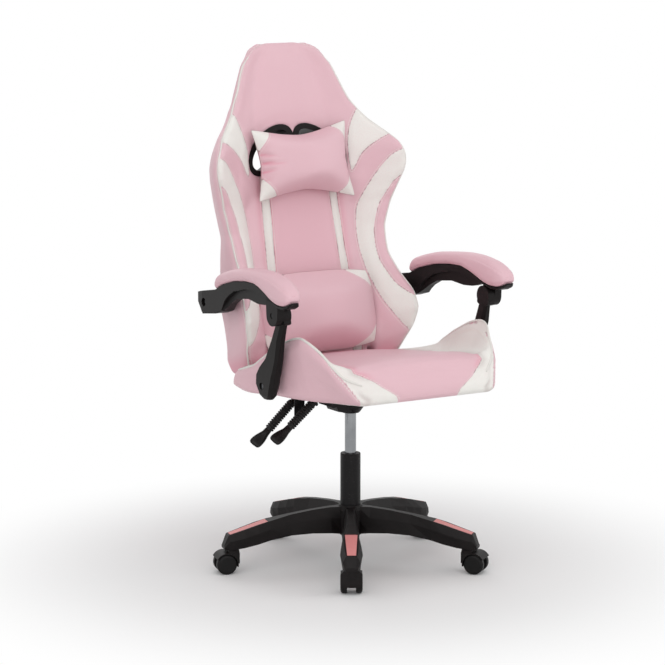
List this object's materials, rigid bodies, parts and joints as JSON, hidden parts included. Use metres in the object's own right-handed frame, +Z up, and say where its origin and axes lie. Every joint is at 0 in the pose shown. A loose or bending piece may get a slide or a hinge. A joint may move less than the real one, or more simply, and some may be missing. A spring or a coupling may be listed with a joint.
{
  "type": "gaming chair",
  "caption": "High-back gaming chair with head and lumbar pillows, armrests linked to the reclining back, gas lift with levers, and a five-star caster base",
  "frame": {"origin": "On the floor, under the axis of the gas lift", "axes": "+Z is up, the chair faces -Y, +X is the sitter's left"},
  "size_m": [0.6737, 0.7181, 1.2639],
  "materials": {
    "black_plastic": "moulded, fine matte grain",
    "inlay_plastic": "moulded, satin",
    "black_metal": "black powder coat",
    "bright_steel": "bright polished",
    "plain_steel": "zinc plated",
    "black_rubber": "soft matte",
    "plywood": "plain plywood",
    "pink_leather": "pale pink synthetic leather with off-white panels, soft satin",
    "black_webbing": "woven elastic webbing",
    "wheel_plastic": "moulded nylon"
  },
  "bodies": {
    "base": {"base_star": "black_plastic", "base_inlays": "inlay_plastic", "lift_tube": "black_metal", "lift_bushing": "black_plastic"},
    "lift_rod": {"lift_piston_rod": "bright_steel", "lift_thrust_bearing": "plain_steel"},
    "seat": {"lift_cylinder": "bright_steel", "mechanism_housing": "black_metal", "mechanism_bolts": "plain_steel", "lever_pins": "plain_steel", "seat_board": "plywood", "seat_cushion": "pink_leather", "seat_hinge_plates": "black_metal", "hinge_pins": "plain_steel", "arm_leg_bolts": "plain_steel"},
    "valve": {"lift_valve_pin": "bright_steel"},
    "height_lever_arm": {"height_lever_rod": "black_metal", "height_lever_sleeve": "black_rubber", "height_lever_paddle": "black_plastic"},
    "recline_lever_arm": {"recline_lever_rod": "black_metal", "recline_lever_sleeve": "black_rubber", "recline_lever_paddle": "black_plastic"},
    "back": {"back_hinge_plates": "black_metal", "back_frame": "black_metal", "back_cushion": "pink_leather", "back_panel": "pink_leather", "strap_bezels": "black_plastic", "head_pillow": "pink_leather", "head_strap": "black_webbing", "lumbar_pillow": "pink_leather", "arm_rear_bolts": "plain_steel"},
    "right_leg": {"right_arm_leg": "black_plastic", "right_elbow_pin": "plain_steel"},
    "right_arm": {"right_arm_bracket": "black_plastic", "right_arm_pad": "pink_leather"},
    "left_leg": {"left_arm_leg": "black_plastic", "left_elbow_pin": "plain_steel"},
    "left_arm": {"left_arm_bracket": "black_plastic", "left_arm_pad": "pink_leather"},
    "caster_1": {"caster_1_hood": "black_plastic", "caster_1_pins": "plain_steel"},
    "caster_1_a": {"caster_1_wheel_a": "wheel_plastic"},
    "caster_1_b": {"caster_1_wheel_b": "wheel_plastic"},
    "caster_2": {"caster_2_hood": "black_plastic", "caster_2_pins": "plain_steel"},
    "caster_2_a": {"caster_2_wheel_a": "wheel_plastic"},
    "caster_2_b": {"caster_2_wheel_b": "wheel_plastic"},
    "caster_3": {"caster_3_hood": "black_plastic", "caster_3_pins": "plain_steel"},
    "caster_3_a": {"caster_3_wheel_a": "wheel_plastic"},
    "caster_3_b": {"caster_3_wheel_b": "wheel_plastic"},
    "caster_4": {"caster_4_hood": "black_plastic", "caster_4_pins": "plain_steel"},
    "caster_4_a": {"caster_4_wheel_a": "wheel_plastic"},
    "caster_4_b": {"caster_4_wheel_b": "wheel_plastic"},
    "caster_5": {"caster_5_hood": "black_plastic", "caster_5_pins": "plain_steel"},
    "caster_5_a": {"caster_5_wheel_a": "wheel_plastic"},
    "caster_5_b": {"caster_5_wheel_b": "wheel_plastic"}
  },
  "joints": [
    {"name": "swivel", "type": "hinge", "parent": "base", "child": "lift_rod", "pos_m": [0, 0, 0.08], "axis": [0, 0, 1], "continuous": true},
    {"name": "lift", "type": "slide", "parent": "lift_rod", "child": "seat", "axis": [0, 0, 1], "range_m": [-0.1, 0]},
    {"name": "recline", "type": "hinge", "parent": "seat", "child": "back", "pos_m": [0, 0.205, 0.485], "axis": [-1, 0, 0], "range_deg": [0, 30]},
    {"name": "height_lever", "type": "hinge", "parent": "seat", "child": "height_lever_arm", "pos_m": [-0.072, 0, 0.43], "axis": [0, 1, 0], "range_deg": [0, 4], "stiffness_Nm_per_rad": 12, "springref_deg": -4.58},
    {"name": "valve_press", "type": "slide", "parent": "seat", "child": "valve", "axis": [0, 0, 1], "range_m": [-0.0052, 0]},
    {"name": "recline_lever", "type": "hinge", "parent": "seat", "child": "recline_lever_arm", "pos_m": [-0.072, 0.055, 0.43], "axis": [0, 1, 0], "range_deg": [0, 5], "stiffness_Nm_per_rad": 12, "springref_deg": -4.58},
    {"name": "right_leg_hinge", "type": "hinge", "parent": "seat", "child": "right_leg", "pos_m": [0, -0.085, 0.487], "axis": [-1, 0, 0], "range_deg": [0, 26.45]},
    {"name": "right_arm_hinge", "type": "hinge", "parent": "right_leg", "child": "right_arm", "pos_m": [0, -0.162, 0.667], "axis": [-1, 0, 0], "range_deg": [-20.72, 0]},
    {"name": "left_leg_hinge", "type": "hinge", "parent": "seat", "child": "left_leg", "pos_m": [0, -0.085, 0.487], "axis": [-1, 0, 0], "range_deg": [0, 26.45]},
    {"name": "left_arm_hinge", "type": "hinge", "parent": "left_leg", "child": "left_arm", "pos_m": [0, -0.162, 0.667], "axis": [-1, 0, 0], "range_deg": [-20.72, 0]},
    {"name": "caster_1_swivel", "type": "hinge", "parent": "base", "child": "caster_1", "pos_m": [-0.15839, -0.25948, 0.06], "axis": [0, 0, 1], "continuous": true},
    {"name": "caster_1_a_spin", "type": "hinge", "parent": "caster_1", "child": "caster_1_a", "pos_m": [-0.14901, -0.24412, 0.025], "axis": [-0.8536, 0.521, 0], "continuous": true},
    {"name": "caster_1_b_spin", "type": "hinge", "parent": "caster_1", "child": "caster_1_b", "pos_m": [-0.14901, -0.24412, 0.025], "axis": [-0.8536, 0.521, 0], "continuous": true},
    {"name": "caster_2_swivel", "type": "hinge", "parent": "base", "child": "caster_2", "pos_m": [-0.29572, 0.07045, 0.06], "axis": [0, 0, 1], "continuous": true},
    {"name": "caster_2_a_spin", "type": "hinge", "parent": "caster_2", "child": "caster_2_a", "pos_m": [-0.31303, 0.07541, 0.025], "axis": [-0.2756, -0.9613, 0], "continuous": true},
    {"name": "caster_2_b_spin", "type": "hinge", "parent": "caster_2", "child": "caster_2_b", "pos_m": [-0.31303, 0.07541, 0.025], "axis": [-0.2756, -0.9613, 0], "continuous": true},
    {"name": "caster_3_swivel", "type": "hinge", "parent": "base", "child": "caster_3", "pos_m": [-0.02438, 0.30302, 0.06], "axis": [0, 0, 1], "continuous": true},
    {"name": "caster_3_a_spin", "type": "hinge", "parent": "caster_3", "child": "caster_3_a", "pos_m": [-0.03283, 0.31891, 0.025], "axis": [-0.8829, -0.4695, 0], "continuous": true},
    {"name": "caster_3_b_spin", "type": "hinge", "parent": "caster_3", "child": "caster_3_b", "pos_m": [-0.03283, 0.31891, 0.025], "axis": [-0.8829, -0.4695, 0], "continuous": true},
    {"name": "caster_4_swivel", "type": "hinge", "parent": "base", "child": "caster_4", "pos_m": [0.28066, 0.11683, 0.06], "axis": [0, 0, 1], "continuous": true},
    {"name": "caster_4_a_spin", "type": "hinge", "parent": "caster_4", "child": "caster_4_a", "pos_m": [0.29757, 0.12298, 0.025], "axis": [-0.342, 0.9397, 0], "continuous": true},
    {"name": "caster_4_b_spin", "type": "hinge", "parent": "caster_4", "child": "caster_4_b", "pos_m": [0.29757, 0.12298, 0.025], "axis": [-0.342, 0.9397, 0], "continuous": true},
    {"name": "caster_5_swivel", "type": "hinge", "parent": "base", "child": "caster_5", "pos_m": [0.19784, -0.23082, 0.06], "axis": [0, 0, 1], "continuous": true},
    {"name": "caster_5_a_spin", "type": "hinge", "parent": "caster_5", "child": "caster_5_a", "pos_m": [0.20874, -0.24514, 0.025], "axis": [0.7955, 0.606, 0], "continuous": true},
    {"name": "caster_5_b_spin", "type": "hinge", "parent": "caster_5", "child": "caster_5_b", "pos_m": [0.20874, -0.24514, 0.025], "axis": [0.7955, 0.606, 0], "continuous": true}
  ],
  "couplings": [
    {"joint": "valve_press", "follows": "height_lever", "m_per_rad": -0.072},
    {"joint": "right_leg_hinge", "follows": "recline", "ratio": 0.875},
    {"joint": "right_arm_hinge", "follows": "recline", "ratio": -0.684},
    {"joint": "left_leg_hinge", "follows": "recline", "ratio": 0.875},
    {"joint": "left_arm_hinge", "follows": "recline", "ratio": -0.684}
  ]
}
